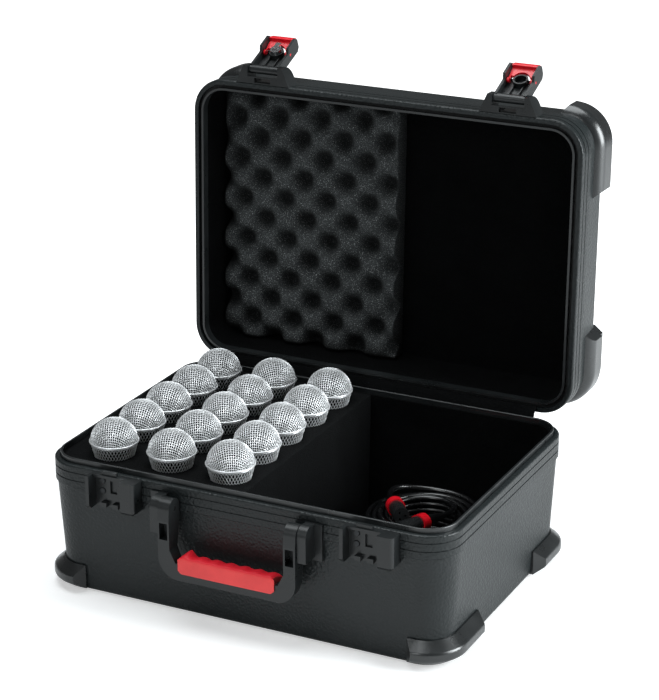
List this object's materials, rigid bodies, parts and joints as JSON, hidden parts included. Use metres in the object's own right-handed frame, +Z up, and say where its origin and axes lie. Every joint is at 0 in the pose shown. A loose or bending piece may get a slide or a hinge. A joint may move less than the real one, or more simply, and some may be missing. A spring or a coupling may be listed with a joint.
{
  "type": "microphone case",
  "caption": "Moulded case with a hinged, latched lid, a folding carry handle, a foam tray of hand-held microphones and an open compartment for cables.",
  "frame": {"origin": "middle of the case's underside, on the surface that it stands on", "axes": "+X to the right seen from the latches, +Y from the latches to the hinges, +Z up"},
  "size_m": [0.482, 0.4524, 0.5296],
  "materials": {
    "shell_plastic": "pebbled moulded polyethylene, charcoal black",
    "bumper_plastic": "smooth moulded, soft sheen",
    "rim_metal": "dark anodised extrusion",
    "lining_foam": "black foam skin",
    "charcoal_foam": "open-cell foam, charcoal",
    "seal_rubber": "matt",
    "latch_plastic": "glass-filled nylon, light texture",
    "release_plastic": "crimson, smooth",
    "grip_rubber": "coral red, over-moulded",
    "hinge_steel": "zinc plated",
    "lock_chrome": "polished",
    "cable_rubber": "soft black jacket, faint sheen",
    "plug_metal": "satin nickel",
    "ring_plastic": "red, smooth",
    "microphone_metal": "satin nickel mesh over a dark handle"
  },
  "bodies": {
    "base": {"base_shell": "shell_plastic", "base_valance": "rim_metal", "base_lining": "lining_foam", "base_corner_bumpers": "bumper_plastic", "microphone_foam": "charcoal_foam", "foam_floor_pad": "charcoal_foam", "base_latch_rivets": "hinge_steel", "left_latch_keeper": "latch_plastic", "right_latch_keeper": "latch_plastic", "left_handle_bracket": "latch_plastic", "right_handle_bracket": "latch_plastic", "handle_screws": "hinge_steel", "handle_pins": "hinge_steel", "base_hinge_leaves": "hinge_steel", "hinge_pins": "hinge_steel", "base_hinge_rivets": "hinge_steel", "cable_coil": "cable_rubber", "cable_socket_plug": "plug_metal", "cable_pin_plug": "plug_metal", "cable_plug_rings": "ring_plastic", "cable_boots": "cable_rubber"},
    "lid": {"lid_shell": "shell_plastic", "lid_valance": "rim_metal", "lid_seal": "seal_rubber", "lid_lining": "lining_foam", "lid_corner_bumpers": "bumper_plastic", "lid_convoluted_foam": "charcoal_foam", "lid_hinge_leaves": "hinge_steel", "lid_hinge_rivets": "hinge_steel", "lid_latch_rivets": "hinge_steel", "left_latch_bracket": "latch_plastic", "right_latch_bracket": "latch_plastic", "latch_lever_pins": "hinge_steel"},
    "left_latch": {"left_latch_lever": "latch_plastic"},
    "right_latch": {"right_latch_lever": "latch_plastic"},
    "left_release": {"left_latch_release": "release_plastic"},
    "right_release": {"right_latch_release": "release_plastic"},
    "latch_lock": {"latch_lock_barrel": "lock_chrome"},
    "handle": {"handle_bail": "latch_plastic", "handle_grip": "grip_rubber"},
    "microphone_01": {"microphone_01": "microphone_metal"},
    "microphone_02": {"microphone_02": "microphone_metal"},
    "microphone_03": {"microphone_03": "microphone_metal"},
    "microphone_04": {"microphone_04": "microphone_metal"},
    "microphone_05": {"microphone_05": "microphone_metal"},
    "microphone_06": {"microphone_06": "microphone_metal"},
    "microphone_07": {"microphone_07": "microphone_metal"},
    "microphone_08": {"microphone_08": "microphone_metal"},
    "microphone_09": {"microphone_09": "microphone_metal"},
    "microphone_10": {"microphone_10": "microphone_metal"},
    "microphone_11": {"microphone_11": "microphone_metal"},
    "microphone_12": {"microphone_12": "microphone_metal"},
    "microphone_13": {"microphone_13": "microphone_metal"},
    "microphone_14": {"microphone_14": "microphone_metal"},
    "microphone_15": {"microphone_15": "microphone_metal"}
  },
  "joints": [
    {"name": "lid_hinge", "type": "hinge", "parent": "base", "child": "lid", "pos_m": [0, 0.1699, 0.15075], "axis": [-1, 0, 0], "range_deg": [-92, 0]},
    {"name": "left_latch_throw", "type": "hinge", "parent": "lid", "child": "left_latch", "pos_m": [-0.1475, 0.18836, 0.50022], "axis": [-1, 0, 0], "range_deg": [-155, 0]},
    {"name": "right_latch_throw", "type": "hinge", "parent": "lid", "child": "right_latch", "pos_m": [0.1475, 0.18836, 0.50022], "axis": [-1, 0, 0], "range_deg": [-155, 0]},
    {"name": "left_release_press", "type": "hinge", "parent": "left_latch", "child": "left_release", "pos_m": [-0.1475, 0.21408, 0.51385], "axis": [-1, 0, 0], "range_deg": [0, 20], "stiffness_Nm_per_rad": 0.3},
    {"name": "right_release_press", "type": "hinge", "parent": "right_latch", "child": "right_release", "pos_m": [0.1475, 0.21408, 0.51385], "axis": [-1, 0, 0], "range_deg": [0, 20], "stiffness_Nm_per_rad": 0.3},
    {"name": "lock_turn", "type": "hinge", "parent": "left_latch", "child": "latch_lock", "pos_m": [-0.1475, 0.21839, 0.50753], "axis": [0, 0.3907, -0.9205], "range_deg": [0, 90]},
    {"name": "handle_swing", "type": "hinge", "parent": "base", "child": "handle", "pos_m": [0, -0.178, 0.13], "axis": [-1, 0, 0], "range_deg": [0, 100]},
    {"name": "microphone_01_lift", "type": "slide", "parent": "base", "child": "microphone_01", "axis": [0, 0, 1], "range_m": [0, 0.13]},
    {"name": "microphone_02_lift", "type": "slide", "parent": "base", "child": "microphone_02", "axis": [0, 0, 1], "range_m": [0, 0.13]},
    {"name": "microphone_03_lift", "type": "slide", "parent": "base", "child": "microphone_03", "axis": [0, 0, 1], "range_m": [0, 0.13]},
    {"name": "microphone_04_lift", "type": "slide", "parent": "base", "child": "microphone_04", "axis": [0, 0, 1], "range_m": [0, 0.13]},
    {"name": "microphone_05_lift", "type": "slide", "parent": "base", "child": "microphone_05", "axis": [0, 0, 1], "range_m": [0, 0.13]},
    {"name": "microphone_06_lift", "type": "slide", "parent": "base", "child": "microphone_06", "axis": [0, 0, 1], "range_m": [0, 0.13]},
    {"name": "microphone_07_lift", "type": "slide", "parent": "base", "child": "microphone_07", "axis": [0, 0, 1], "range_m": [0, 0.13]},
    {"name": "microphone_08_lift", "type": "slide", "parent": "base", "child": "microphone_08", "axis": [0, 0, 1], "range_m": [0, 0.13]},
    {"name": "microphone_09_lift", "type": "slide", "parent": "base", "child": "microphone_09", "axis": [0, 0, 1], "range_m": [0, 0.13]},
    {"name": "microphone_10_lift", "type": "slide", "parent": "base", "child": "microphone_10", "axis": [0, 0, 1], "range_m": [0, 0.13]},
    {"name": "microphone_11_lift", "type": "slide", "parent": "base", "child": "microphone_11", "axis": [0, 0, 1], "range_m": [0, 0.13]},
    {"name": "microphone_12_lift", "type": "slide", "parent": "base", "child": "microphone_12", "axis": [0, 0, 1], "range_m": [0, 0.13]},
    {"name": "microphone_13_lift", "type": "slide", "parent": "base", "child": "microphone_13", "axis": [0, 0, 1], "range_m": [0, 0.13]},
    {"name": "microphone_14_lift", "type": "slide", "parent": "base", "child": "microphone_14", "axis": [0, 0, 1], "range_m": [0, 0.13]},
    {"name": "microphone_15_lift", "type": "slide", "parent": "base", "child": "microphone_15", "axis": [0, 0, 1], "range_m": [0, 0.13]}
  ]
}
